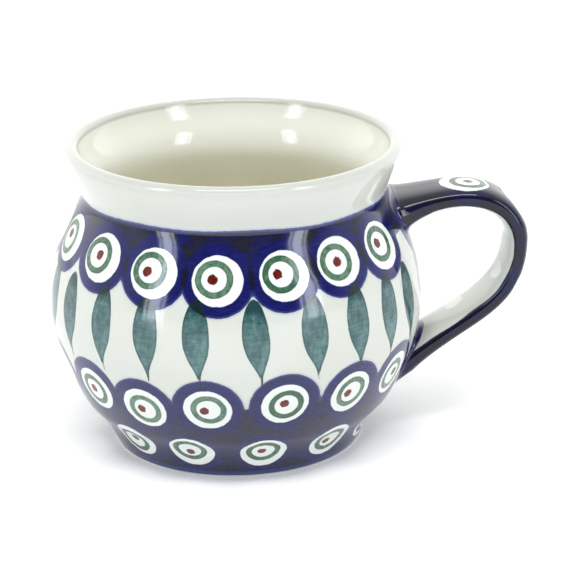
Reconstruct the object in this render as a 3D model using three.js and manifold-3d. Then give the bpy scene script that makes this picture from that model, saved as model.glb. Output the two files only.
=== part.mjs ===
// Belly mug in glazed stoneware: a thrown body with a turned foot ring, and a strap handle stuck on
// at its two ends with slip, the liquid clay that a potter uses as glue. Millimetres, +Z up; the
// mug stands on its foot ring and its handle points along +X. The table is at z = 0.
import * as THREE from 'three';
import { mergeVertices } from 'three/addons/utils/BufferGeometryUtils.js';
import Module from 'manifold-3d';

const wasm = await Module();
wasm.setup();

// ---- body: the outer profile's main rings, each a radius and a rise above the ring below it ----
const foot_radius = 36.7;
const foot_edge = 0.8;
const flank_radius = 44.3;
const flank_rise = 12.0;
const belly_radius = 54.2;
const belly_rise = 28.7;
const neck_radius = 44.0;
const shoulder_rise = 34.0;
const rim_radius = 48.0;
const collar_rise = 12.4;

// how far the profile leans outwards from upright as it leaves the foot, and on the flank
const foot_lean = THREE.MathUtils.degToRad(27.4);
const flank_lean = THREE.MathUtils.degToRad(43.8);

// how far each bend holds its direction on leaving a ring and on reaching the next
const foot_bend = [5.3, 5.5];
const flank_bend = [5.0, 8.2];
const shoulder_bend = [20.0, 5.0];
const collar_bend = [3.0, 4.5];

// ---- body: wall, lip, floor and foot ring ----
const wall_thickness = 4.5;
const lip_thickness = 3.6;
const lip_crown = 1.6;
const floor_thickness = 5.0;
const floor_fillet = 9.0;
const foot_ring_width = 5.0;
const foot_ring_lean = 1.0;
const foot_recess = 1.8;

// ---- handle: where its centreline runs, measured from the body's rings ----
const finger_room = 24.5;
const upper_joint_below_neck = 8.3;
const upper_joint_climb = THREE.MathUtils.degToRad(14.0);
const crest_beyond_belly = 11.4;
const crest_below_neck = 4.35;
const grip_above_belly = 16.9;
const lower_joint_above_flank = 9.4;
const lower_joint_climb = THREE.MathUtils.degToRad(36.0);

// ---- handle: the strap's size at its two ends, on the crest and at the grip ----
const upper_end_size = { width: 23.0, thickness: 11.4 };
const crest_size = { width: 18.2, thickness: 6.8 };
const grip_size = { width: 18.2, thickness: 6.6 };
const lower_end_size = { width: 21.5, thickness: 8.6 };
const handle_reach = belly_radius + finger_room + grip_size.thickness;

// how far each bend of the centreline holds its direction
const crest_bend = [2.0, 8.8];
const corner_bend = [13.0, 4.0];
const grip_bend = [19.6, 23.6];

// a flare grows with this power of the way along its bend, so it sits close to its joint
const upper_flare_power = 3;
const lower_flare_power = 6;

// ---- slip joints ----
const joint_gap = 0.3;
const slip_thickness = 1.0;
const slip_bead = 1.2;

// how far the strap is carried on inside the wall before the wall's space is cut from it
const root_length = 20.0;

// ---- fineness of the mesh ----
const turn_sides = 64;
const bend_points = 6;
const lip_points = 6;
const strap_sides = 24;
const stretch_steps = 9;

// ---------------------------------------------------------------- body

const at = (radius, height) => new THREE.Vector2(radius, height);
const lean = (angle) => at(Math.sin(angle), Math.cos(angle));
const upright = lean(0);

// A smooth bend from one point to another that leaves along one direction and arrives along
// another; holds says how far it keeps to each.
function bend(start, start_way, end, end_way, holds) {
  const leave = start.clone().addScaledVector(start_way, holds[0]);
  const arrive = end.clone().addScaledVector(end_way, -holds[1]);
  return new THREE.CubicBezierCurve(start, leave, arrive, end);
}

const foot = at(foot_radius, foot_edge);
const flank = at(flank_radius, foot.y + flank_rise);
const belly = at(belly_radius, flank.y + belly_rise);
const neck = at(neck_radius, belly.y + shoulder_rise);
const rim = at(rim_radius, neck.y + collar_rise);

const lower_bends = [
  bend(foot, lean(foot_lean), flank, lean(flank_lean), foot_bend),
  bend(flank, lean(flank_lean), belly, upright, flank_bend),
  bend(belly, upright, neck, upright, shoulder_bend),
];
const collar = bend(neck, upright, rim, upright, collar_bend);

// Points along the outer profile from foot to rim, each moved outwards by the distance that
// offset(point) gives, square to the profile.
function wallPoints(offset) {
  const points = [];
  for (const curve of [...lower_bends, collar]) {
    for (let i = curve === lower_bends[0] ? 0 : 1; i <= bend_points; i++) {
      const point = curve.getPointAt(i / bend_points);
      const along = curve.getTangentAt(i / bend_points);
      points.push(point.clone().addScaledVector(at(along.y, -along.x), offset(point)));
    }
  }
  return points;
}

// A profile of (radius, height) points turned about the mug's upright axis.
function turned(profile) {
  return new THREE.LatheGeometry(profile, turn_sides).rotateX(Math.PI / 2);
}

// The wall thins from the neck to the lip.
function wallAt(point) {
  const up_collar = THREE.MathUtils.clamp((point.y - neck.y) / collar_rise, 0, 1);
  return THREE.MathUtils.lerp(wall_thickness, lip_thickness, up_collar);
}

function bodyProfile() {
  const floor_height = foot_recess + floor_thickness;
  const ring_inside = foot_radius - foot_ring_width;
  const underside = [
    at(0, foot_recess),
    at(ring_inside - foot_ring_lean, foot_recess),
    at(ring_inside, 0),
    at(foot_radius - foot_edge, 0),
  ];
  const outside = wallPoints(() => 0);
  const lip = new THREE.EllipseCurve(
    rim_radius - lip_thickness / 2, rim.y, lip_thickness / 2, lip_crown, 0, Math.PI,
  ).getPoints(lip_points).slice(1, -1);
  const inside = wallPoints((point) => -wallAt(point)).reverse();
  const wall_inside = inside.filter((point) => point.y > floor_height + floor_fillet);

  const foot_of_wall = wall_inside.at(-1);
  const slope = foot_of_wall.clone().sub(wall_inside.at(-2));
  const drop = (foot_of_wall.y - floor_height) / -slope.y;
  const corner = foot_of_wall.clone().addScaledVector(slope, drop);
  const floor_edge = at(corner.x - floor_fillet, floor_height);
  const fillet = new THREE.QuadraticBezierCurve(foot_of_wall, corner, floor_edge)
    .getPoints(bend_points).slice(1);
  return [...underside, ...outside, ...lip, ...wall_inside, ...fillet, at(0, floor_height)];
}

// The solid space inside the outer profile grown by a distance, used to cut what meets the wall.
function bodySpace(distance) {
  const points = wallPoints(() => distance);
  return turned([at(0, points[0].y), ...points, at(0, points.at(-1).y)]);
}

// ---------------------------------------------------------------- handle

// The point of the outer profile at a height.
function wallPoint(height) {
  const points = wallPoints(() => 0);
  const above = points.findIndex((point) => point.y >= height);
  const [low, high] = [points[above - 1], points[above]];
  return at(THREE.MathUtils.mapLinear(height, low.y, high.y, low.x, high.x), height);
}

// Directions in the handle's upright plane, as (outwards, up).
const climb = (angle) => at(Math.cos(angle), Math.sin(angle));
const outwards = climb(0);
const downwards = climb(-Math.PI / 2);

// The strap's centreline as five stretches, from inside the wall over the crest and down the
// grip to inside the wall again. size(t) is the strap's size that far along the stretch.
function strapStretches() {
  const upper = wallPoint(neck.y - upper_joint_below_neck);
  const lower = wallPoint(flank.y + lower_joint_above_flank);
  const crest = at(belly_radius + crest_beyond_belly, neck.y - crest_below_neck);
  const grip = at(handle_reach - grip_size.thickness / 2, belly.y + grip_above_belly);
  const upper_way = climb(upper_joint_climb);
  const lower_way = climb(lower_joint_climb).negate();
  const upper_root = upper.clone().addScaledVector(upper_way, -root_length);
  const lower_root = lower.clone().addScaledVector(lower_way, root_length);

  const blend = (a, b, t) => ({
    width: THREE.MathUtils.lerp(a.width, b.width, t),
    thickness: THREE.MathUtils.lerp(a.thickness, b.thickness, t),
  });
  return [
    { curve: new THREE.LineCurve(upper_root, upper), size: () => upper_end_size },
    {
      curve: bend(upper, upper_way, crest, outwards, crest_bend),
      size: (t) => blend(crest_size, upper_end_size, (1 - t) ** upper_flare_power),
    },
    {
      curve: bend(crest, outwards, grip, downwards, corner_bend),
      size: (t) => blend(crest_size, grip_size, t),
    },
    {
      curve: bend(grip, downwards, lower, lower_way, grip_bend),
      size: (t) => blend(grip_size, lower_end_size, t ** lower_flare_power),
    },
    { curve: new THREE.LineCurve(lower, lower_root), size: () => lower_end_size },
  ];
}

// An oval strap along some stretches of the centreline: a cylinder whose rings are moved to
// places along the curves and squeezed to the strap's width and thickness there, plus grow.
function strap(stretches, grow) {
  const places = stretches.flatMap(({ curve, size }, n) => {
    const first = n === 0 ? 0 : 1;
    return Array.from({ length: stretch_steps + 1 - first }, (_, i) => {
      const t = (i + first) / stretch_steps;
      return { centre: curve.getPointAt(t), along: curve.getTangentAt(t), ...size(t) };
    });
  });
  const rings = places.length - 1;
  const geometry = new THREE.CylinderGeometry(1, 1, 1, strap_sides, rings);
  const position = geometry.attributes.position;
  for (let i = 0; i < position.count; i++) {
    const place = places[Math.round((0.5 - position.getY(i)) * rings)];
    const across = position.getX(i) * (place.width / 2 + grow);
    const out = position.getZ(i) * (place.thickness / 2 + grow);
    const point = place.centre.clone().addScaledVector(at(-place.along.y, place.along.x), out);
    position.setXYZ(i, point.x, across, point.y);
  }
  return geometry;
}

// ---------------------------------------------------------------- solids

// A closed geometry as a solid that can be cut, and a solid as a geometry again.
function solid(geometry) {
  const bare = geometry.clone();
  bare.deleteAttribute('normal');
  bare.deleteAttribute('uv');
  const merged = mergeVertices(bare);
  return new wasm.Manifold(new wasm.Mesh({
    numProp: 3,
    vertProperties: new Float32Array(merged.attributes.position.array),
    triVerts: new Uint32Array(merged.index.array),
  }));
}

function shape(cut) {
  const mesh = cut.getMesh();
  const geometry = new THREE.BufferGeometry();
  geometry.setAttribute('position', new THREE.BufferAttribute(mesh.vertProperties, mesh.numProp));
  geometry.setIndex(new THREE.BufferAttribute(mesh.triVerts, 1));
  geometry.computeVertexNormals();
  return geometry;
}

// The layer of slip between the wall and one end of the strap: the strap's end, a bead wider all
// round, kept to a skin that follows the wall.
function slipJoint(stretches) {
  return shape(solid(strap(stretches, slip_bead))
    .intersect(solid(bodySpace(joint_gap + slip_thickness)))
    .subtract(solid(bodySpace(joint_gap))));
}

function handleStrap(stretches) {
  const clear_of_slip = joint_gap + slip_thickness + joint_gap;
  return shape(solid(strap(stretches, 0)).subtract(solid(bodySpace(clear_of_slip))));
}

// ---------------------------------------------------------------- assembly

const cream_glaze = new THREE.MeshStandardMaterial({ color: 0xeff1e6, roughness: 0.12, metalness: 0 });
const cobalt_glaze = new THREE.MeshStandardMaterial({ color: 0x232b57, roughness: 0.14, metalness: 0 });
const slip_glaze = new THREE.MeshStandardMaterial({ color: 0x6b7396, roughness: 0.2, metalness: 0 });

function piece(name, geometry, material) {
  const mesh = new THREE.Mesh(geometry, material);
  mesh.name = name;
  return mesh;
}

const stretches = strapStretches();
const mug = new THREE.Group();
mug.add(
  piece('mug_body', turned(bodyProfile()), cream_glaze),
  piece('handle', handleStrap(stretches), cobalt_glaze),
  piece('upper_slip_joint', slipJoint(stretches.slice(0, 2)), slip_glaze),
  piece('lower_slip_joint', slipJoint(stretches.slice(-2)), slip_glaze),
);

// the origin is under the middle of the whole mug, handle included
mug.position.x = (belly_radius - handle_reach) / 2;

export default mug;
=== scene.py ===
import bpy
import numpy as np
from mathutils import Matrix, Vector


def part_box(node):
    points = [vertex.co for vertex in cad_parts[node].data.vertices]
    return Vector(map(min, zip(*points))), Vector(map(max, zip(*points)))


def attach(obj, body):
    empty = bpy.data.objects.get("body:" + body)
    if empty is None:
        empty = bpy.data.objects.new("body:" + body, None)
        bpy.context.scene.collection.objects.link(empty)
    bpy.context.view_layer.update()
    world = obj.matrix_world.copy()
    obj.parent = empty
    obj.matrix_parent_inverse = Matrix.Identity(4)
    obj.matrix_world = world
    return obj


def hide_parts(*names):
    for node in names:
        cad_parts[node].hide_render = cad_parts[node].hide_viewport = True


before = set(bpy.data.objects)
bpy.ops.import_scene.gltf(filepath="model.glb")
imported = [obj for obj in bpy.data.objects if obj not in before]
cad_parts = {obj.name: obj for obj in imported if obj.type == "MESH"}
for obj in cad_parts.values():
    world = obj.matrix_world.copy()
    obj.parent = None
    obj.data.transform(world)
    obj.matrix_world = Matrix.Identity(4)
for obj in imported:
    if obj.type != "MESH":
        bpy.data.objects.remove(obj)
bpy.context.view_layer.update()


# ---- thrown body ---------------------------------------------------------------------------
# One wall of cream stoneware, thrown on the wheel: a round belly on a turned foot ring, drawn in
# to a neck and opened into a plain collar. It is painted under a clear glossy glaze with rows of
# stamped eyes on cobalt and a row of green leaves, and the foot ring's face is left bare clay.

# sizes are in millimetres and become metres only when a mesh is made
mm = 0.001
body_low, body_high = (np.array(corner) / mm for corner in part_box("mug_body"))
axis_x = (body_low[0] + body_high[0]) / 2
belly_radius = (body_high[0] - body_low[0]) / 2

# the outer profile's main rings, each (radius, height), from the foot up
foot_ring = np.array([36.7, 0.8])
flank_ring = np.array([44.3, 12.8])
belly_ring = np.array([belly_radius, 41.5])
neck_ring = np.array([44.0, 75.5])
lip_crown = 1.6
rim_ring = np.array([48.0, body_high[2] - lip_crown])
wall_thickness = 4.5
lip_thickness = 3.6
floor_height = 6.8
floor_fillet = 9.0
foot_width = 5.0
foot_recess = 1.8
foot_chamfer = 1.0


def lean(degrees):
    """The direction (outwards, up) that leans outwards from upright by some degrees."""
    return np.array([np.sin(np.radians(degrees)), np.cos(np.radians(degrees))])


def bend(start, leave, end, arrive, samples=200):
    """A cubic Bezier: the points start, start + leave, end - arrive and end, weighted by
    (1-t)^3, 3t(1-t)^2, 3t^2(1-t) and t^3."""
    t = np.linspace(0, 1, samples)[:, None]
    return ((1 - t) ** 3 * start + 3 * t * (1 - t) ** 2 * (start + leave)
            + 3 * t ** 2 * (1 - t) * (end - arrive) + t ** 3 * end)


def travelled(points):
    """The distance from the first point to each point along a line of points."""
    steps = np.linalg.norm(np.diff(points, axis=0), axis=1)
    return np.concatenate([[0], np.cumsum(steps)])


def evenly(points, count):
    """count points at equal distances along a line of points."""
    along = travelled(points)
    places = np.linspace(0, along[-1], count)
    return np.stack([np.interp(places, along, column) for column in points.T], axis=1)


# the wall leans outwards from the foot and over the flank, and is upright at the belly, the neck
# and the rim. Each stretch has a (leaving, arriving) pull, which is how far its bend is drawn
# along the wall's direction at either end
foot_way = lean(27.4)
flank_way = lean(43.8)
upright_way = lean(0)
flank_pull = (5.3, 5.5)
belly_pull = (5.0, 8.2)
shoulder_pull = (20.0, 5.0)
collar_pull = (3.0, 4.5)
outer_wall = np.concatenate([
    bend(foot_ring, flank_pull[0] * foot_way, flank_ring, flank_pull[1] * flank_way),
    bend(flank_ring, belly_pull[0] * flank_way, belly_ring, belly_pull[1] * upright_way)[1:],
    bend(belly_ring, shoulder_pull[0] * upright_way,
         neck_ring, shoulder_pull[1] * upright_way)[1:],
    bend(neck_ring, collar_pull[0] * upright_way, rim_ring, collar_pull[1] * upright_way)[1:],
])


def wall_radius(height):
    """The outer wall's radius at a height."""
    return np.interp(height, outer_wall[:, 1], outer_wall[:, 0])


def wall_normal(height):
    """The outer wall's outward direction (outwards, up) at a height."""
    reach = 0.2
    rise = np.full_like(height, 2 * reach)
    spread = wall_radius(height + reach) - wall_radius(height - reach)
    return np.stack([rise, -spread], axis=-1) / np.hypot(rise, spread)[..., None]


# the inner face is the outer one moved in by the wall, which thins over the collar, and a smooth
# fillet carries it into the flat floor
up_collar = np.clip((outer_wall[:, 1] - neck_ring[1]) / (rim_ring[1] - neck_ring[1]), 0, 1)
wall_here = wall_thickness + (lip_thickness - wall_thickness) * up_collar
inner_wall = outer_wall - wall_normal(outer_wall[:, 1]) * wall_here[:, None]
inner_wall[-1] = rim_ring - [lip_thickness, 0]
inner_wall = inner_wall[inner_wall[:, 1] > floor_height + floor_fillet]
run_down = inner_wall[0] - inner_wall[1]
floor_corner = inner_wall[0] + run_down * (inner_wall[0, 1] - floor_height) / -run_down[1]
floor_edge = floor_corner - [floor_fillet, 0]
fillet_t = np.linspace(0, 1, 100)[:, None]
floor_bend = ((1 - fillet_t) ** 2 * inner_wall[0] + 2 * fillet_t * (1 - fillet_t) * floor_corner
              + fillet_t ** 2 * floor_edge)

# the lip is half an ellipse from the outer face to the inner one
lip_t = np.linspace(0, np.pi, 60)
lip = np.stack([rim_ring[0] - lip_thickness / 2 * (1 - np.cos(lip_t)),
                rim_ring[1] + lip_crown * np.sin(lip_t)], axis=1)

# the underside: a shallow recess inside the foot ring, and the ring's rounded outer edge. The
# first and last rings of the skin are this small, and each closes on its own centre
closing_radius = 1.0
straight_out = np.array([1.0, 0.0])
ring_inside = foot_ring[0] - foot_width
recess_edge = np.array([ring_inside - 2 * foot_chamfer, foot_recess])
ring_edge = np.array([ring_inside + 0.4, 0])
recess_pull = (1.0, 0.8)
edge_t = np.linspace(0, np.pi / 2, 20)
foot_edge = np.stack([foot_ring[0] - foot_ring[1] * (1 - np.sin(edge_t)),
                      foot_ring[1] * (1 - np.cos(edge_t))], axis=1)
recess_side = bend(recess_edge, recess_pull[0] * straight_out,
                   ring_edge, recess_pull[1] * straight_out)
underside = np.concatenate([[[closing_radius, foot_recess]], recess_side])
floor_inside = np.concatenate([floor_bend, [[closing_radius, floor_height]]])

# how many rings of points each stretch of the profile gets; neighbours share one
underside_rows, edge_rows, wall_rows = 16, 6, 122
lip_rows, inner_rows, floor_rows = 13, 36, 18
body_profile = np.concatenate([
    evenly(underside, underside_rows)[:-1],
    evenly(foot_edge, edge_rows)[:-1],
    evenly(outer_wall, wall_rows)[:-1],
    evenly(lip, lip_rows)[:-1],
    evenly(inner_wall[::-1], inner_rows)[:-1],
    evenly(floor_inside, floor_rows),
])
first_outer_row = underside_rows - 1 + edge_rows - 1
outer_rows = slice(first_outer_row, first_outer_row + wall_rows)


def closed_skin(name, rings, looped=False):
    """A closed mesh from a grid of points, rows of rings by points round each ring. Every ring is
    joined to the next; the first and last close on their own centres, or on each other."""
    rows, columns = rings.shape[:2]
    corners = np.arange(rows * columns).reshape(rows, columns)
    after = np.roll(corners, -1, axis=1)
    last = rows if looped else rows - 1
    ahead = np.roll(corners, -1, axis=0)[:last]
    ahead_after = np.roll(after, -1, axis=0)[:last]
    faces = np.stack([corners[:last], after[:last], ahead_after, ahead], -1).reshape(-1, 4).tolist()
    points = rings.reshape(-1, 3)
    if not looped:
        points = np.concatenate([points, [rings[0].mean(0), rings[-1].mean(0)]])
        low, high = len(points) - 2, len(points) - 1
        faces += np.stack([after[0], corners[0], np.full(columns, low)], -1).tolist()
        faces += np.stack([corners[-1], after[-1], np.full(columns, high)], -1).tolist()
    mesh = bpy.data.meshes.new(name)
    mesh.from_pydata(points * mm, [], faces)
    mesh.shade_smooth()
    piece = bpy.data.objects.new(name, mesh)
    bpy.context.scene.collection.objects.link(piece)
    return piece, points


def note(piece, name, values):
    """Keeps one number per vertex on a piece, for its material to read by name."""
    attribute = piece.data.attributes.new(name, "FLOAT", "POINT")
    attribute.data.foreach_set("value", np.asarray(values, np.float32))


# the potter's hand leaves the turned wall a few hundredths of a millimetre out of round, with
# faint throwing rings
body_turns = 440
turn = np.linspace(0, 2 * np.pi, body_turns, endpoint=False)[None, :]
profile_radius = body_profile[:, :1]
profile_height = body_profile[:, 1:]
oval, three_sided, five_sided = 0.10, 0.05, 0.03
out_of_round = (oval * np.sin(2 * turn + 0.6)
                + three_sided * np.sin(3 * turn + 2.1 + profile_height / 30)
                + five_sided * np.sin(5 * turn + profile_height / 11))
fine_ring, broad_ring = 0.035, 0.05
throwing_rings = (fine_ring * np.sin(profile_height / 1.35 + turn)
                  + broad_ring * np.sin(profile_height / 4.3))

# the middle of the floor and of the underside stays true, and the rim sways up and down a little
worked = np.clip(profile_radius / foot_ring[0] - 0.9, 0, 0.1) * 10
thrown_radius = profile_radius + (out_of_round + throwing_rings) * worked
rim_tilt, rim_wave = 0.12, 0.06
rim_sway = rim_tilt * np.sin(2 * turn + 1.9) + rim_wave * np.sin(3 * turn)
sway_from, sway_over = 60, 30
swaying = np.clip((profile_height - sway_from) / sway_over, 0, 1)
thrown_height = profile_height + rim_sway * swaying
body, body_points = closed_skin("stoneware_body", np.stack([
    axis_x + thrown_radius * np.cos(turn),
    thrown_radius * np.sin(turn),
    np.broadcast_to(thrown_height, thrown_radius.shape),
], axis=-1))

# ---- where the brush and the stamps touched: angles are in degrees from the handle, heights and
# distances in millimetres, all worked out for every vertex at once
hand = np.random.default_rng(23)
offset_x = body_points[:, 0] - axis_x
point_turn = np.degrees(np.arctan2(body_points[:, 1], offset_x))
point_height = body_points[:, 2]
point_radius = np.hypot(offset_x, body_points[:, 1])
on_outside = np.zeros(body_profile.shape[0], bool)
on_outside[outer_rows] = True
on_outside = np.concatenate([np.repeat(on_outside, body_turns), [False, False]])

# the white disc's radius, and how far from an eye's middle the cobalt scallops round it reach
eye_disc = 7.0
shoulder_scallop = 10.2
flank_scallop = 10.3


def by_hand(slips, count, most):
    """count small slips of the hand: the ones given, then others of at most most."""
    return np.concatenate([slips, hand.uniform(-most, most, count - len(slips))])


def wrapped(angle):
    """An angle in degrees, brought to between -180 and 180."""
    return (angle + 180) % 360 - 180


def stamp_row(count, first, turn_slips, height, rise_slips, disc, clear_of_handle):
    """A row of stamps set by eye: even steps round the body from the angle first, at one height,
    each slipped a little both ways. Gives (angle, height, disc radius) rows, and leaves out the
    stamps that the handle's end would cover."""
    angle = first + 360 / count * np.arange(count) + by_hand(turn_slips, count, 0.9)
    rise = height + by_hand(rise_slips, count, 0.7)
    row = np.stack([angle, rise, np.full(count, disc)], axis=1)
    return row[np.abs(wrapped(angle)) > clear_of_handle]


def on_wall(angle, height):
    """The points of the outer wall at some angles and heights."""
    radius = wall_radius(height)
    return np.stack([axis_x + radius * np.cos(np.radians(angle)),
                     radius * np.sin(np.radians(angle)), height], axis=-1)


shoulder_row = stamp_row(count=17, first=-162.4, height=65.0, disc=7.0, clear_of_handle=20,
                         turn_slips=[-2.9, -1.1, -0.2, 0.0, 0.3, -0.7, -0.6],
                         rise_slips=[0.5, 0.1, -0.5, -1.2, -0.6, 0.6, 0.6])
flank_row = stamp_row(count=16, first=-146.2, height=26.4, disc=6.8, clear_of_handle=16,
                      turn_slips=[1.3, -0.5, -1.4, 0.4, 1.3, 0.9],
                      rise_slips=[-0.4, -1.8, 0.1, 1.3, 0.7, 0.4])
foot_row = stamp_row(count=13, first=-138.9, height=9.8, disc=6.6, clear_of_handle=14,
                     turn_slips=[2.0, -0.3, 0.1, 1.0, 0.1],
                     rise_slips=[0.2, 0.2, 0.0, 0.0, -0.4])


def far_from(points, centres):
    """The distance from every point to every centre."""
    return np.linalg.norm(points[:, None, :] - centres[None, :, :], axis=2)


def eye_notes(piece, points, painted, centres, across, upward, scales, off_centre):
    """Notes how far each vertex is from the middle of the nearest stamped eye, from the middle
    of that eye's green ring and of its dot, and from the second nearest eye, all as if the eye's
    scale were 1. off_centre is how far (across, up) each ring was set from the middle of its white
    disc. The dot was set off the same way, half as far again, and both slip a little besides."""
    count = len(centres)
    ring_spread, dot_spread, most = 0.34, 0.4, 0.7
    ring_slip = off_centre + hand.normal(0, ring_spread, (count, 2)).clip(-most, most)
    dot_slip = 1.5 * off_centre + hand.normal(0, dot_spread, (count, 2)).clip(-most, most)
    far = far_from(points, centres) / scales
    order = np.argsort(far, axis=1)
    nearest = order[:, 0]
    own = np.arange(len(points))
    scale = scales[nearest]
    for title, slip in (("ring_far", ring_slip), ("dot_far", dot_slip)):
        moved = centres + slip[:, :1] * across + slip[:, 1:] * upward
        note(piece, title, np.linalg.norm(points - moved[nearest], axis=1) / scale)
    note(piece, "eye_far", np.where(painted, far[own, nearest], 4 * eye_disc))
    note(piece, "next_far", far[own, order[:, 1]])
    note(piece, "eye_seed", hand.uniform(0, 1, count)[nearest])


eyes = np.concatenate([shoulder_row, flank_row, foot_row])
eye_angle = np.radians(eyes[:, 0])
eye_normal = wall_normal(eyes[:, 1])
eye_across = np.stack([-np.sin(eye_angle), np.cos(eye_angle), 0 * eye_angle], axis=1)
eye_upward = np.stack([-eye_normal[:, 1] * np.cos(eye_angle),
                       -eye_normal[:, 1] * np.sin(eye_angle), eye_normal[:, 0]], axis=1)
shoulder_off_centre = [-0.95, 0.25]
flank_off_centre = [-0.25, 0.0]
off_centre = np.array([shoulder_off_centre] * len(shoulder_row)
                      + [flank_off_centre] * (len(flank_row) + len(foot_row)))
eye_notes(body, body_points, on_outside, on_wall(eyes[:, 0], eyes[:, 1]), eye_across, eye_upward,
          eyes[:, 2] / eye_disc, off_centre)


def row_height(row):
    """The height of the line through a row of stamps, at each vertex's angle."""
    order = np.argsort(row[:, 0] % 360)
    return np.interp(point_turn % 360, (row[:, 0] % 360)[order], row[:, 1][order], period=360)


# cobalt covers the shoulder from the neck line down to the middle of its eyes, and hangs below
# them in scallops; on the flank it stands up in scallops and runs down to the foot
round_turn = np.radians(point_turn)
above_neck, slow_waver, quick_waver = 0.5, 0.25, 0.18
neck_line = (neck_ring[1] + above_neck + slow_waver * np.sin(3 * round_turn + 0.4)
             + quick_waver * np.sin(8 * round_turn + 1.0))
shoulder_far = far_from(body_points, on_wall(shoulder_row[:, 0], shoulder_row[:, 1])).min(1)
flank_far = far_from(body_points, on_wall(flank_row[:, 0], flank_row[:, 1])).min(1)
hanging = np.maximum(shoulder_scallop - shoulder_far, point_height - row_height(shoulder_row))
shoulder_blue = np.minimum(hanging, neck_line - point_height)
flank_blue = np.maximum(flank_scallop - flank_far, row_height(flank_row) - point_height)

# round both joints the wall is painted over too, in patches of (radius, height)
joint_patches = np.array([[14.5, 66.0], [13.0, 24.0]])
joint_points = on_wall(0 * joint_patches[:, 1], joint_patches[:, 1])
joint_blue = (joint_patches[:, 0] - far_from(body_points, joint_points)).max(1)
joint_blue = np.minimum(joint_blue, neck_line - point_height)
ground = np.maximum(np.maximum(shoulder_blue, flank_blue), joint_blue)
off_paint = -5.0
note(body, "ground", np.where(on_outside, ground, off_paint))
note(body, "neck_below", neck_line - point_height)
note(body, "outside", on_outside)

# the glaze draws thin over the inner edge of the lip and lets the tan clay through
thin_edge = rim_ring + [-0.93 * lip_thickness, 0.35 * lip_crown]
note(body, "lip_line", np.hypot(point_radius - thin_edge[0], point_height - thin_edge[1]))

# leaves hang point down in the white band, widest above their middle: at t of the way down their
# half width is sin(pi t^0.8), raised to a power that grows towards the thin lower tip
leaf_count = 23
leaf_top, leaf_foot = 58.9, 34.0
leaf_length = leaf_top - leaf_foot
leaf_half_width = 3.45
leaf_tip = 0.35
leaf_early = 0.8
leaf_bow = -0.55
first_leaf = -150.4
leaf_slips = [-2.8, -1.75, -1.5, -1.55, 0.0, 2.65, 2.4, 1.15, -2.1]
leaf_angle = first_leaf + 360 / leaf_count * np.arange(leaf_count)
leaf_angle += by_hand(leaf_slips, leaf_count, 1.2)
leaf_turn = by_hand([0.6, -0.4, 0.6, 1.0, 2.1, 1.3, 0.9, 0.3, 1.0], leaf_count, 0.9)
leaf_drop = by_hand([0.0, 0.0, 0.0, 0.2, 0.2, 0.0, 0.2, 0.0, 0.0], leaf_count, 0.5)
leaf_size = hand.uniform(0.94, 1.06, leaf_count)
leaf = np.abs(wrapped(point_turn[:, None] - leaf_angle - leaf_turn / 2)).argmin(1)
leaf_down = np.clip((leaf_top + leaf_drop[leaf] - point_height) / leaf_length, -1, 2)
in_leaf = np.clip(leaf_down, 0, 1)
leaf_swell = np.sin(np.pi * in_leaf ** leaf_early)
turn_off = wrapped(point_turn - leaf_angle[leaf] - leaf_turn[leaf] * leaf_down)
leaf_side = np.radians(turn_off) * point_radius - leaf_bow * leaf_swell
narrowing = 0.75 + 2.6 * in_leaf ** 3
leaf_width = leaf_half_width * leaf_size[leaf] * leaf_swell ** narrowing + leaf_tip
leaf_inside = np.minimum(leaf_width - np.abs(leaf_side),
                         leaf_length * np.minimum(leaf_down, 1 - leaf_down))
far_out = 6.0
leaf_inside = np.where(on_outside, np.clip(leaf_inside, -far_out, far_out), -far_out)
note(body, "leaf_inside", leaf_inside)
note(body, "leaf_side", np.clip(leaf_side, -far_out, far_out))
note(body, "leaf_down", leaf_down)
note(body, "leaf_seed", hand.uniform(0, 1, leaf_count)[leaf])


class Signal:
    """One output socket of a node. The operators add Math nodes, so that signals and plain
    numbers can be written together as one expression."""

    def __init__(self, pot, socket):
        self.pot = pot
        self.socket = socket

    def math(self, operation, first, second):
        return self.pot.node("ShaderNodeMath", {"operation": operation}, {0: first, 1: second})

    def __add__(self, other):
        return self.math("ADD", self, other)

    def __sub__(self, other):
        return self.math("SUBTRACT", self, other)

    def __rsub__(self, other):
        return self.math("SUBTRACT", other, self)

    def __mul__(self, other):
        return self.math("MULTIPLY", self, other)

    def least(self, other):
        return self.math("MINIMUM", self, other)

    def most(self, other):
        return self.math("MAXIMUM", self, other)

    __radd__ = __add__


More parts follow.
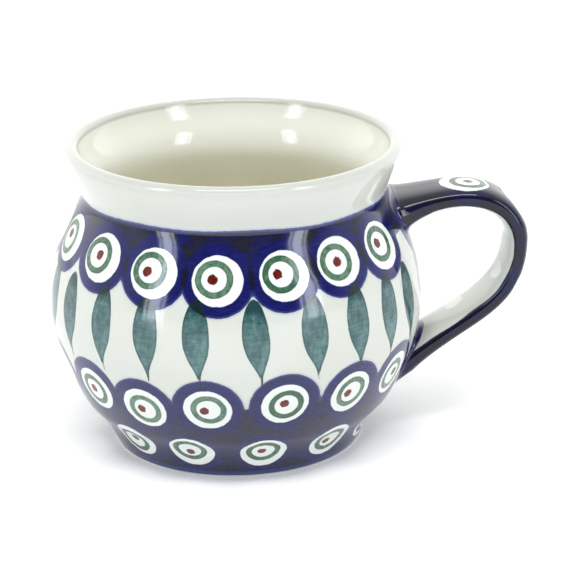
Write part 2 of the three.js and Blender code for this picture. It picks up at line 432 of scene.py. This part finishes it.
class GlazePot:
    """A node tree being filled. node() adds any node: its settings first, then the values or
    signals of its inputs by name or number, and gives the signal of one output."""

    def __init__(self, tree):
        self.tree = tree
        self.tree.nodes.clear()

    def node(self, kind, settings, inputs, output=0):
        made = self.tree.nodes.new(kind)
        for name, value in settings.items():
            setattr(made, name, value)
        for name, value in inputs.items():
            if isinstance(value, Signal):
                self.tree.links.new(value.socket, made.inputs[name])
            else:
                made.inputs[name].default_value = value
        return Signal(self, made.outputs[output]) if made.outputs else None

    def noted(self, name):
        """The number kept on the mesh under this name."""
        return self.node("ShaderNodeAttribute", {"attribute_name": name}, {}, "Fac")

    def place(self, stretch=(1, 1, 1)):
        """Object coordinates, each times its stretch."""
        here = self.node("ShaderNodeTexCoord", {}, {}, "Object")
        return self.node("ShaderNodeMapping", {}, {"Vector": here, "Scale": stretch})

    def mottle(self, size, detail=2.0, stretch=(1, 1, 1), roughness=0.5):
        """Noise from 0 to 1 with patches of about a size in millimetres. A stretch above 1 makes
        them shorter along its axis, and one below 1 longer."""
        return self.node("ShaderNodeTexNoise", {}, {
            "Vector": self.place(stretch), "Scale": 1 / (size * mm), "Detail": detail,
            "Roughness": roughness})

    def climb(self, signal, low, high):
        """0 below low and 1 above high, with a smooth step between; or the reverse."""
        return self.node("ShaderNodeMapRange", {"interpolation_type": "SMOOTHSTEP"},
                         {"Value": signal, "From Min": low, "From Max": high})

    def blend(self, share, first, second):
        """From the first colour to the second by a share from 0 to 1."""
        return self.node("ShaderNodeMix", {"data_type": "RGBA"},
                         {0: share, 6: first, 7: second}, 2)


def paint(red, green, blue):
    """A colour from its screen values, 0 to 255, as the linear light that nodes work in."""
    share = np.array([red, green, blue]) / 255
    linear = np.where(share <= 0.04045, share / 12.92, ((share + 0.055) / 1.055) ** 2.4)
    return (*linear.tolist(), 1.0)


cream = paint(199, 202, 195)
cream_warm = paint(199, 199, 187)
cream_lit_inside = paint(223, 224, 212)
cream_lit_warm_floor = paint(235, 230, 208)
lip_cream = paint(185, 188, 181)
lip_tan = paint(196, 170, 128)
bright_white = paint(220, 224, 219)
cobalt_vivid = paint(20, 25, 102)
cobalt_deep = paint(12, 15, 70)
cobalt_pale = paint(72, 90, 160)
cobalt_dusk = paint(24, 25, 48)
cobalt_olive = paint(31, 32, 34)
cobalt_grey_and_floor_reflection = paint(24, 23, 58)
cobalt_dark = paint(16, 18, 34)
strap_shade_black = paint(8, 11, 20)
eye_green = paint(52, 90, 68)
eye_green_pale = paint(94, 124, 102)
eye_green_dark = paint(31, 66, 50)
eye_red = paint(112, 24, 14)
eye_red_dark = paint(70, 12, 10)
leaf_dark = paint(30, 62, 66)
leaf_mid = paint(58, 94, 94)
leaf_pale = paint(86, 120, 119)
leaf_edge = paint(26, 58, 62)
leaf_on_blue = paint(18, 34, 40)
bare_clay = paint(214, 204, 184)
speck_brown = paint(120, 98, 70)


def paint_eyes(pot, under, waver):
    """Lays a white disc, a green ring and a red-brown dot over the paint under them. Each edge
    is two distances from the middle, one clear of the paint and one fully under it."""
    disc_edge = (eye_disc + 0.14, eye_disc - 0.1)
    ring_outer_edge = (5.35, 5.1)
    ring_inner_edge = (3.35, 3.65)
    dot_edge = (1.55, 1.3)
    far = pot.noted("eye_far") + waver
    seed = pot.noted("eye_seed")
    disc = pot.climb(far, *disc_edge)
    done = pot.blend(disc, under, bright_white)
    brush = pot.mottle(1.6, detail=4, roughness=0.65)
    ring = pot.noted("ring_far") + waver * 0.7
    band = pot.climb(ring, *ring_outer_edge).least(pot.climb(ring, *ring_inner_edge))
    thin = pot.climb(brush + seed * 0.25, 0.5, 0.78)
    green = pot.blend(thin, eye_green, eye_green_pale)
    rim = pot.climb(ring, 4.75, 5.1).most(pot.climb(ring, 3.9, 3.55))
    green = pot.blend(rim * (0.75 - seed * 0.5), green, eye_green_dark)
    done = pot.blend(band.least(disc), done, green)
    ragged = (pot.mottle(1.1, detail=2) - 0.5) * 0.9
    dot = pot.climb(pot.noted("dot_far") + ragged, *dot_edge)
    red = pot.blend(pot.climb(brush, 0.35, 0.65), eye_red, eye_red_dark)
    return pot.blend(dot.least(disc), done, red), disc


def paint_cobalt(pot, waver, greying_and_floor_reflection, stretch):
    """Cobalt as it was brushed, with the bristles' fine streaks shaped by the stretch: vivid near
    each stamp, near-black and olive away from them, and darkest where two scallops lie over each
    other. The third argument, from 0 to 1, is how far grey is mixed in: on the strap patchy greying
    of the paint, and on the body a painted reflection of the pale floor that grows towards the
    foot."""
    scallop_edge = 10.4
    level_patches = (1, 1, 1.8)
    broad = pot.mottle(6.0, detail=3, stretch=level_patches)
    fine = pot.mottle(1.8, detail=4, stretch=stretch, roughness=0.6)
    blotch = pot.climb(broad * 0.5 + fine * 0.5, 0.46, 0.66)
    wash = pot.blend(blotch, cobalt_dusk, cobalt_vivid)
    olive = pot.climb(pot.mottle(4.5, detail=4, stretch=level_patches), 0.49, 0.61)
    wash = pot.blend(olive * 0.8, wash, cobalt_olive)
    wash = pot.blend(greying_and_floor_reflection * 0.4, wash, cobalt_grey_and_floor_reflection)
    ragged = pot.noted("eye_far") + waver * 2 + (fine - 0.5) * 1.2
    near = pot.climb(ragged, scallop_edge, scallop_edge - 1.0)
    ring = pot.blend(pot.climb(fine, 0.3, 0.7), cobalt_deep, cobalt_vivid)
    ring = pot.blend(greying_and_floor_reflection * 0.3, ring, cobalt_grey_and_floor_reflection)
    done = pot.blend(near * (0.9 - greying_and_floor_reflection * 0.1), wash, ring)
    twice = pot.climb(pot.noted("next_far") + waver, scallop_edge, scallop_edge - 0.5)
    return pot.blend(twice * 0.85, done, cobalt_dark)


def finish_glaze(pot, colour, roughness, height, index=1.56):
    """The clear glaze over the paint: glossy, with a soft orange peel and the paint's own height
    under it. index is the glaze's refractive index, and a lower one mirrors less."""
    relief = 0.05 * mm
    peel = pot.mottle(3.2, detail=2) * 0.5 + pot.mottle(0.9, detail=1) * 0.08
    bump = pot.node("ShaderNodeBump", {}, {"Strength": 0.5, "Distance": relief,
                                           "Height": peel + height}, "Normal")
    shader = pot.node("ShaderNodeBsdfPrincipled", {}, {
        "Base Color": colour, "Roughness": roughness, "Normal": bump, "IOR": index})
    pot.node("ShaderNodeOutputMaterial", {}, {"Surface": shader})


def new_glaze(name):
    """An empty material and the pot that fills its nodes."""
    material = bpy.data.materials.new(name)
    material.use_nodes = True
    return material, GlazePot(material.node_tree)


def brush_waver(pot):
    """How far, in millimetres, a painted edge strays in or out from place to place."""
    return (pot.mottle(2.0, detail=3, roughness=0.6) - 0.5) * 0.55


# the clay under the clear glaze: cream, greyer over the crown of the lip, and with a few iron
# specks. Inside the cup it is painted paler, and paler and warmer again towards the floor: painted
# light that lifts the shade in the cup and stands in for the warm light bounced round inside it.
# Each pair of numbers is where a colour begins and where it is full: heights first, then
# distances from the lip's inner edge
body_glaze, pot = new_glaze("painted_stoneware_glaze")
waver = brush_waver(pot)
height_here = pot.node("ShaderNodeSeparateXYZ", {}, {"Vector": pot.place()}, "Z") * (1 / mm)
cloud = pot.climb(pot.mottle(16, detail=2), 0.4, 0.75)
surface = pot.blend(cloud * 0.5, cream, cream_warm)
above_underside = (3.5, 5.5)
below_lip = (88.9, 87.9)
down_the_cup = (74.0, 30.0)
onto_crown = (87.4, 88.3)
crown_band = (4.4, 2.8)
thin_band = (0.7, 0.25)
inside = (1 - pot.noted("outside")) * pot.climb(height_here, *above_underside)
# painted light: the inside of the cup is painted paler, and paler and warmer towards its floor
surface = pot.blend(inside * pot.climb(height_here, *below_lip), surface, cream_lit_inside)
surface = pot.blend(inside * pot.climb(height_here, *down_the_cup), surface, cream_lit_warm_floor)
lip_line = pot.noted("lip_line") + waver
crown = pot.noted("outside").most(pot.climb(height_here, *onto_crown))
surface = pot.blend(crown * pot.climb(lip_line, *crown_band), surface, lip_cream)
surface = pot.blend(pot.climb(lip_line, *thin_band) * 0.22, surface, lip_tan)
speck_spacing = 7.5 * mm
speck = pot.node("ShaderNodeTexVoronoi", {}, {"Vector": pot.place(), "Scale": 1 / speck_spacing},
                 "Distance")
speck = pot.climb(speck, 0.035, 0.022) * pot.climb(pot.mottle(9), 0.56, 0.6)
surface = pot.blend(speck * 0.6, surface, speck_brown)

# the cobalt, with a faint halo round it, thin along its edges and paler in a band at the foot;
# it greys low down with a painted reflection of the pale floor, and the pale band under the neck
# is a painted highlight in the neck's hollow
blue_here = pot.noted("ground") + waver * 0.8
blue = pot.climb(blue_here, -0.12, 0.16)
halo = pot.climb(blue_here, -0.9, 0.1) * 0.22
surface = pot.blend(halo, surface, cobalt_pale)
# the cobalt greys from 38 mm down to 14 mm: a painted reflection of the pale floor in the lower
# wall
cobalt = paint_cobalt(pot, waver, pot.climb(height_here, 38.0, 14.0), (0.6, 0.6, 3.2))
cobalt = pot.blend(pot.climb(blue_here, 0.9, 0.1) * 0.35, cobalt, cobalt_pale)
# painted highlight: a pale cobalt band just under the neck line, along the neck's hollow
neck_highlight = pot.climb(pot.noted("neck_below") + waver, 1.0, 0.2) * pot.noted("outside")
cobalt = pot.blend(neck_highlight * 0.5, cobalt, cobalt_pale)
foot_line = pot.climb(height_here + waver, 2.6, 1.4)
cobalt = pot.blend(foot_line * 0.4, cobalt, cobalt_pale)
surface = pot.blend(blue, surface, cobalt)

# the leaves' green, laid on in streaks, pooled dark at the tops, outlines and tips
leaf_here = pot.noted("leaf_inside") + waver * 0.45
leaf_mask = pot.climb(leaf_here, -0.1, 0.14)
leaf_way = pot.noted("leaf_down")
streaks = pot.mottle(2.2, detail=5, stretch=(0.6, 0.6, 3.0), roughness=0.7)
pool = pot.mottle(2.0, detail=4, stretch=(1.4, 1.4, 0.5), roughness=0.65)
slant = leaf_way + pot.noted("leaf_side") * 0.045 + pot.noted("leaf_seed") * 0.14
lower = pot.climb(slant, 0.62, 0.74)
depth = (streaks * 0.6 + pool * 0.8 - 0.22) - lower * 0.1 + pot.climb(leaf_way, 0.22, 0.0) * 0.4
leaf_colour = pot.blend(pot.climb(depth, 0.26, 0.5), leaf_pale, leaf_mid)
leaf_colour = pot.blend(pot.climb(depth, 0.44, 0.72), leaf_colour, leaf_dark)
outline = pot.climb(leaf_here, 0.8, 0.12) * (0.6 + pot.climb(leaf_way, 0.75, 0.98) * 0.5)
tip = pot.climb(leaf_way, 0.9, 0.98)
leaf_colour = pot.blend(outline.most(tip), leaf_colour, leaf_edge)
leaf_colour = pot.blend(blue, leaf_colour, leaf_on_blue)
surface = pot.blend(leaf_mask, surface, leaf_colour)
surface, disc = paint_eyes(pot, surface, waver)

# the foot ring's face is wiped clean of glaze
bare = pot.climb(height_here + waver * 0.2, 0.25, 0.1)
surface = pot.blend(bare, surface, bare_clay)
gloss = 0.065 + pot.mottle(5.0, detail=3) * 0.05 + bare * 0.5
finish_glaze(pot, surface, gloss, (blue - disc).most(0) * 0.25 + leaf_mask * 0.2)
body.data.materials.append(body_glaze)
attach(body, "root")
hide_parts("mug_body")


# ---- strap handle --------------------------------------------------------------------------
# A pulled strap of the same clay: it leaves the wall below the neck, rises over a crest, turns
# down the grip and comes back to the flank. Its outer face and sides are painted cobalt with a
# line of eyes, and its inner face is left cream.

handle_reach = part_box("handle")[1][0] / mm - axis_x

# the strap's sizes where it changes shape, each (half width, half thickness)
upper_end = np.array([11.5, 5.7])
crest_size = np.array([9.1, 3.4])
grip_size = np.array([9.1, 3.3])
lower_end = np.array([10.75, 4.3])

# the centreline's places, each (radius, height). It leaves the wall rising by 14 degrees from
# level, and comes back to it falling by 36
upper_height, lower_height = 67.2, 22.2
upper_place = np.array([wall_radius(upper_height), upper_height])
crest_place = np.array([65.6, 71.15])
grip_place = np.array([handle_reach - grip_size[1], 58.4])
lower_place = np.array([wall_radius(lower_height), lower_height])
upper_way = lean(90 - 14.0)
lower_way = -lean(90 - 36.0)
outwards = lean(90)
downwards = -lean(0)
root_length = 20.0


def stretch_sizes(line, first, last, power):
    """Sizes along a stretch, from the first to the last as a power of the way along it."""
    along = travelled(line)
    share = (along / along[-1])[:, None] ** power
    return first + (last - first) * share


# both ends carry straight on into the wall by the root's length, so that they can be trimmed there
root_above = np.linspace(upper_place - root_length * upper_way, upper_place, 100)
root_below = np.linspace(lower_place, lower_place + root_length * lower_way, 100)
crest_pull = (2.0, 8.8)
corner_pull = (13.0, 4.0)
grip_pull = (19.6, 23.6)
over_crest = bend(upper_place, crest_pull[0] * upper_way, crest_place, crest_pull[1] * outwards)
round_corner = bend(crest_place, corner_pull[0] * outwards, grip_place, corner_pull[1] * downwards)
down_grip = bend(grip_place, grip_pull[0] * downwards, lower_place, grip_pull[1] * lower_way)
centreline = np.concatenate([root_above, over_crest[1:], round_corner[1:], down_grip[1:],
                             root_below[1:]])
upper_swell, lower_swell = 3, 6
strap_size = np.concatenate([
    np.tile(upper_end, (len(root_above), 1)),
    stretch_sizes(over_crest[::-1], crest_size, upper_end, upper_swell)[::-1][1:],
    stretch_sizes(round_corner, crest_size, grip_size, 1)[1:],
    stretch_sizes(down_grip, grip_size, lower_end, lower_swell)[1:],
    np.tile(lower_end, (len(root_below) - 1, 1)),
])

# distances along the centreline, and where its stretches meet
strap_along = travelled(centreline)
upper_along = strap_along[len(root_above) - 1]
crest_along = strap_along[len(root_above) + len(over_crest) - 2]
grip_along = strap_along[len(root_above) + len(over_crest) + len(round_corner) - 3]
lower_along = strap_along[-len(root_below)]
strap_way = np.gradient(centreline, strap_along, axis=0)
strap_way /= np.linalg.norm(strap_way, axis=1)[:, None]
outer_squareness = 3.1
inner_squareness = 2.3


def strap_point(along, around):
    """The strap's surface: at a distance along the centreline, a superellipse of the size there,
    square to the centreline. around is 0 on the middle of the outer face and pi on the inner;
    the outer half is squarer than the inner one. across = half width |sin|^(2/n) and
    out = half thickness |cos|^(2/n), each with its sign, where n is the squareness."""
    def here(column):
        return np.interp(along, strap_along, column)
    power = 2 / np.where(np.cos(around) > 0, outer_squareness, inner_squareness)
    hand_pulled = 1 + 0.012 * np.sin(along / 9.0) + 0.008 * np.sin(along / 4.1 + 1)
    across = np.sign(np.sin(around)) * np.abs(np.sin(around)) ** power
    across = across * here(strap_size[:, 0]) * hand_pulled
    out = np.sign(np.cos(around)) * np.abs(np.cos(around)) ** power * here(strap_size[:, 1])
    return np.stack([axis_x + here(centreline[:, 0]) - out * here(strap_way[:, 1]),
                     across,
                     here(centreline[:, 1]) + out * here(strap_way[:, 0])], axis=-1)


def meets_wall(around, wall_side, air_side, depth):
    """Where, along the centreline, each line of the strap is a depth inside the outer wall, by
    halving the stretch between a place inside the mug and a place in the air."""
    inside = np.full_like(around, wall_side)
    outside = np.full_like(around, air_side)
    halvings = 40
    for _ in range(halvings):
        middle = (inside + outside) / 2
        point = strap_point(middle, around)
        reach = np.hypot(point[..., 0] - axis_x, point[..., 1])
        in_air = reach > wall_radius(point[..., 2]) - depth
        outside = np.where(in_air, middle, outside)
        inside = np.where(in_air, inside, middle)
    return middle


# each end is searched for between a place inside the mug and a place in the air
upper_span = (2.0, crest_along)
lower_span = (strap_along[-1] - 2.0, grip_along)
strap_sides = 96
strap_steps = 260
strap_depth = 2.2
around = -np.linspace(0, 2 * np.pi, strap_sides, endpoint=False)
upper_start = meets_wall(around, *upper_span, strap_depth)
lower_start = meets_wall(around, *lower_span, strap_depth)
share = np.linspace(0, 1, strap_steps)[:, None]
strap_places = upper_start + (lower_start - upper_start) * share
strap_around = np.broadcast_to(around, strap_places.shape)
strap, strap_points = closed_skin("strap_handle", strap_point(strap_places, strap_around))

# five eyes follow the outer face down from the crest, each near its middle
first_eye = crest_along + 1.1
eye_places = first_eye + np.array([0.0, 16.0, 34.5, 53.0, 71.0])
eye_face = np.array([0.0, 0.01, -0.05, 0.08, 0.05])
strap_eyes = strap_point(eye_places, eye_face)
eye_upward = strap_point(eye_places + 0.5, eye_face) - strap_point(eye_places - 0.5, eye_face)
eye_across = np.tile([0.0, 1.0, 0.0], (len(strap_eyes), 1))
strap_disc = 7.3
strap_off_centre = [0.0, 0.8]
eye_notes(strap, strap_points, True, strap_eyes, eye_across, eye_upward,
          np.full(len(strap_eyes), strap_disc / eye_disc),
          np.tile(strap_off_centre, (len(strap_eyes), 1)))

# the painted edge runs along the inner face's rounded edges and wanders a little; near both
# joints the blue closes over the inner face in a few loose strokes
flat_along = np.concatenate([strap_places.ravel(), upper_start[:1], lower_start[:1]])
flat_around = np.concatenate([strap_around.ravel(), [np.pi, np.pi]])
from_outer_middle = np.abs((flat_around + np.pi) % (2 * np.pi) - np.pi)
half_width_here = np.interp(flat_along, strap_along, strap_size[:, 0])
paint_edge, long_wander, short_wander = 2.02, 0.05, 0.03
edge_around = (paint_edge + long_wander * np.sin(flat_along / 6.0)
               + short_wander * np.sin(flat_along / 2.3 + 1))
on_paint = (edge_around - from_outer_middle) * half_width_here * 0.9
upper_reach, lower_reach = 10.5, 1.5
upper_loops = 2.5 * np.sin(from_outer_middle * 5)
lower_loops = 1.5 * np.sin(from_outer_middle * 7 + 1)
upper_strokes = (upper_along + upper_reach + upper_loops) - flat_along
lower_strokes = flat_along - (lower_along + lower_reach + lower_loops)
note(strap, "ground", np.maximum(on_paint, np.maximum(upper_strokes, lower_strokes)))

strap_glaze, pot = new_glaze("painted_strap_glaze")
waver = brush_waver(pot)
cloud = pot.climb(pot.mottle(14, detail=2), 0.4, 0.75)
surface = pot.blend(cloud * 0.5, cream, cream_warm)
blue_here = pot.noted("ground") + waver * 0.8
blue = pot.climb(blue_here, -0.12, 0.16)
surface = pot.blend(pot.climb(blue_here, -0.8, 0.1) * 0.3, surface, cobalt_pale)
greying_and_floor_reflection = pot.climb(pot.mottle(12.0, detail=2), 0.3, 0.6) * 0.4
cobalt = paint_cobalt(pot, waver, greying_and_floor_reflection, (0.7, 1.5, 0.7))
# painted shade: the strap's cobalt is darkened two thirds of the way to near-black, standing in for
# the shade on its sides
cobalt = pot.blend(0.66, cobalt, strap_shade_black)
surface = pot.blend(blue, surface, cobalt)
surface, disc = paint_eyes(pot, surface, waver)
gloss = 0.045 + pot.mottle(5.0, detail=3) * 0.04
finish_glaze(pot, surface, gloss, (blue - disc).most(0) * 0.25, index=1.44)
strap.data.materials.append(strap_glaze)
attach(strap, "root")
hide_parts("handle")


# ---- luted joints --------------------------------------------------------------------------
# Slip, the liquid clay that sticks the strap's ends to the wall, smoothed off with a finger into
# a small hollow fillet all round each end, then brushed over with cobalt and glazed.

def luted_fillet(name, span, outward_step, reach, wedge_reach):
    """A ring of clay in the corner between the strap and the wall, at the end searched for in a
    span of the centreline. Its section is a quadratic Bezier from the strap to the wall, drawn
    towards the corner, and closed a little inside both. outward_step is 1 where the strap leaves
    the wall and -1 where it comes back. reach is the ring's size, and wedge_reach what is added
    where the strap's inner face meets the wall."""
    turns, hollow_points = 160, 11
    finger_waver = 0.2
    sunk = 0.5
    face = np.linspace(0, 2 * np.pi, turns, endpoint=False)
    wedge = wedge_reach * np.clip(-np.cos(face), 0, 1) ** 2
    size = reach + wedge + finger_waver * np.sin(5 * face)
    meeting = meets_wall(face, *span, 0.0)
    corner = strap_point(meeting, face)
    on_strap = strap_point(meeting + outward_step * size, face)
    far_side = strap_point(meeting + outward_step * size, face + np.pi)
    into_strap = (on_strap + far_side) / 2 - on_strap
    into_strap /= np.linalg.norm(into_strap, axis=1)[:, None]

    # from each point of the corner, the direction over the wall and away from the strap
    run = np.roll(corner, -1, axis=0) - np.roll(corner, 1, axis=0)
    round_wall = np.arctan2(corner[:, 1], corner[:, 0] - axis_x)
    face_out = wall_normal(corner[:, 2])
    normal = np.stack([face_out[:, 0] * np.cos(round_wall), face_out[:, 0] * np.sin(round_wall),
                       face_out[:, 1]], axis=1)
    away = np.cross(run, normal)
    away /= np.linalg.norm(away, axis=1)[:, None]
    away *= np.sign(((corner - corner.mean(0)) * away).sum(1))[:, None]
    spread = corner + away * size[:, None]
    spread_turn = np.arctan2(spread[:, 1], spread[:, 0] - axis_x)
    wall_here = wall_radius(spread[:, 2])
    on_body = np.stack([axis_x + wall_here * np.cos(spread_turn),
                        wall_here * np.sin(spread_turn), spread[:, 2]], axis=1)

    t = np.linspace(0, 1, hollow_points)[:, None, None]
    hollow = (1 - t) ** 2 * on_strap + 2 * t * (1 - t) * corner + t ** 2 * on_body
    under = np.stack([on_body - sunk * normal, corner + sunk * (into_strap - normal),
                      on_strap + sunk * into_strap])
    sections = np.concatenate([hollow, under]).transpose(1, 0, 2)

    # the two ends run round their corners in opposite ways, and both skins have to face outward
    piece, _ = closed_skin(name, sections[::-outward_step], looped=True)
    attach(piece, "root")
    return piece


upper_fillet = luted_fillet("upper_luting_fillet", upper_span, outward_step=1, reach=2.0,
                            wedge_reach=0.6)
lower_fillet = luted_fillet("lower_luting_fillet", lower_span, outward_step=-1, reach=2.2,
                            wedge_reach=2.4)
joint_glaze, pot = new_glaze("painted_joint_glaze")
streaky = pot.mottle(2.4, detail=4, stretch=(1, 1, 2), roughness=0.6)
wash = pot.blend(pot.climb(streaky, 0.36, 0.64), cobalt_dusk, cobalt_vivid)
missed = pot.climb(pot.mottle(3.6, detail=3), 0.66, 0.72)
wash = pot.blend(missed * 0.5, wash, cobalt_pale)
finish_glaze(pot, wash, 0.07 + streaky * 0.06, streaky * 0.3)
for fillet, node in ((upper_fillet, "upper_slip_joint"), (lower_fillet, "lower_slip_joint")):
    fillet.data.materials.append(joint_glaze)
    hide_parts(node)


# ---- studio --------------------------------------------------------------------------------
# A plain pale floor that glows faintly, two tall window-like soft lights in front, a long soft
# light overhead, and a bright surround that is dim behind the camera, so that the dark glaze
# reflects something dark between the windows.

floor_mesh = bpy.data.meshes.new("studio_floor")
floor_half = 4.0
floor_mesh.from_pydata([(-floor_half, -floor_half, 0), (floor_half, -floor_half, 0),
                        (floor_half, floor_half, 0), (-floor_half, floor_half, 0)],
                       [], [(0, 1, 2, 3)])
floor = bpy.data.objects.new("studio_floor", floor_mesh)
bpy.context.scene.collection.objects.link(floor)
floor_paint, pot = new_glaze("pale_floor")
grain = pot.mottle(40, detail=2)
floor_colour = pot.blend(grain, paint(247, 247, 247), paint(250, 250, 250))
white = (1, 1, 1, 1)
# the floor glows faintly by itself: painted light that keeps it white and softens the shadows on it
floor_shader = pot.node("ShaderNodeBsdfPrincipled", {}, {
    "Base Color": floor_colour, "Roughness": 0.7, "Emission Color": white,
    "Emission Strength": 0.08})
pot.node("ShaderNodeOutputMaterial", {}, {"Surface": floor_shader})
floor_mesh.materials.append(floor_paint)

world = bpy.data.worlds.new("studio_surround")
bpy.context.scene.world = world
world.use_nodes = True
pot = GlazePot(world.node_tree)
direction = pot.node("ShaderNodeTexCoord", {}, {}, "Generated")
towards_back = pot.node("ShaderNodeSeparateXYZ", {}, {"Vector": direction}, "Y")
upward = pot.node("ShaderNodeSeparateXYZ", {}, {"Vector": direction}, "Z")
side_glow = (0.8, 0.81, 0.81, 1)
back_glow = (1.7, 1.7, 1.68, 1)
front_glow = (0.1, 0.1, 0.105, 1)
top_glow = (1.0, 1.0, 0.97, 1)
surround = pot.blend(pot.climb(towards_back, 0.0, 0.5), side_glow, back_glow)
surround = pot.blend(pot.climb(towards_back, -0.2, -0.6), surround, front_glow)
surround = pot.blend(pot.climb(upward, 0.55, 0.85), surround, top_glow)
seen = pot.node("ShaderNodeLightPath", {}, {}, "Is Camera Ray")
surround = pot.blend(seen, surround, white)
background = pot.node("ShaderNodeBackground", {}, {"Color": surround, "Strength": 1.0})
pot.node("ShaderNodeOutputWorld", {}, {"Surface": background})

light_distance = 1.5
mug_middle = Vector((axis_x * mm, 0, 0.05))


def soft_light(name, towards, raised, width, height, radiance, colour):
    """A rectangular light in a direction from the mug, raised by some metres and facing back
    along that direction. Its power is radiance times pi times its area."""
    light = bpy.data.lights.new(name, "AREA")
    light.shape = "RECTANGLE"
    light.color = colour
    light.size = width
    light.size_y = height
    light.energy = float(radiance * np.pi * width * height)
    lamp = bpy.data.objects.new(name, light)
    lamp.location = mug_middle + towards * light_distance + Vector((0, 0, raised))
    lamp.rotation_euler = towards.to_track_quat("Z", "Y").to_euler()
    bpy.context.scene.collection.objects.link(lamp)


# each window is a wide pane between two narrow ones; headings are in degrees from the front
window_height = 1.15
window_raised = 0.5
window_radiance = 7.8
window_colour = (0.90, 0.96, 1.06)
front = -93
narrow_shift, narrow_share = 0.78, 0.2
for side, heading, pane in (("left", -50.0, 0.19), ("right", 46.0, 0.20)):
    narrow = pane * narrow_share
    for part, shift, width in (("pane", 0.0, pane), ("near_strip", narrow_shift, narrow),
                               ("far_strip", -narrow_shift, narrow)):
        angle = np.radians(heading + front) + shift * pane / light_distance
        towards = Vector((float(np.cos(angle)), float(np.sin(angle)), 0))
        soft_light(f"{side}_{part}", towards, window_raised, width, window_height,
                   window_radiance, window_colour)

# the light overhead draws the thin bright line along the strap's rounded shoulder
strip_rise = np.radians(66)
towards = Vector((0, float(-np.cos(strip_rise)), float(np.sin(strip_rise))))
soft_light("overhead_strip", towards, raised=0, width=1.1, height=0.3, radiance=11.0,
           colour=(1, 1, 1))

# the camera looks down on the mug from in front, a little from its left; its angles are the
# heading from straight ahead, the dip below level and the tilt about its own axis
camera_place = np.array([-47.25, -605.4, 264.6]) * mm
heading, pitch, roll = np.radians([4.433, 20.017, -0.4925])
forward = np.array([np.sin(heading) * np.cos(pitch), np.cos(heading) * np.cos(pitch),
                    -np.sin(pitch)])
level = np.array([np.cos(heading), -np.sin(heading), 0])
upright = np.cross(level, forward)
right = level * np.cos(roll) + upright * np.sin(roll)
top = upright * np.cos(roll) - level * np.sin(roll)
camera_data = bpy.data.cameras.new("camera")
camera_data.lens = 137.5
camera_data.sensor_width = 36.0
camera_data.clip_start = 0.01
camera = bpy.data.objects.new("camera", camera_data)
turned = Matrix(np.stack([right, top, -forward], axis=1).tolist()).to_4x4()
camera.matrix_world = Matrix.Translation(camera_place.tolist()) @ turned
bpy.context.scene.collection.objects.link(camera)
bpy.context.scene.camera = camera
bpy.context.scene.view_settings.view_transform = "Standard"
